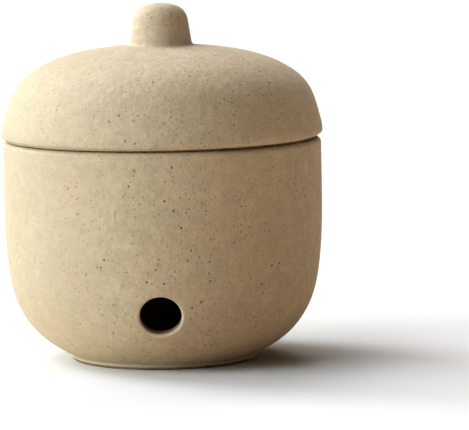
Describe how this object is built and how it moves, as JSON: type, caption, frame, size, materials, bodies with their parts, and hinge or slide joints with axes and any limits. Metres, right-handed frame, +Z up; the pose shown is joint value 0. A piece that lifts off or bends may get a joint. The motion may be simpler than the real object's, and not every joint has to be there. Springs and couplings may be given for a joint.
{
  "type": "garlic keeper",
  "caption": "Round stoneware jar with a vent hole and a lift-off domed lid with a knob, for keeping garlic bulbs dry and dark.",
  "frame": {"origin": "centre of the foot ring's underside, on the surface the jar stands on", "axes": "+Z up along the jar's and lid's turning axis, -Y towards the front, where the vent hole is"},
  "size_m": [0.136, 0.136, 0.1508],
  "materials": {
    "stoneware": "matte speckled glaze"
  },
  "bodies": {
    "jar": {"jar": "stoneware"},
    "lid": {"lid": "stoneware"}
  },
  "joints": [
    {"name": "lid_lift", "type": "slide", "parent": "jar", "child": "lid", "axis": [0, 0, 1], "range_m": [0, 0.1]}
  ]
}
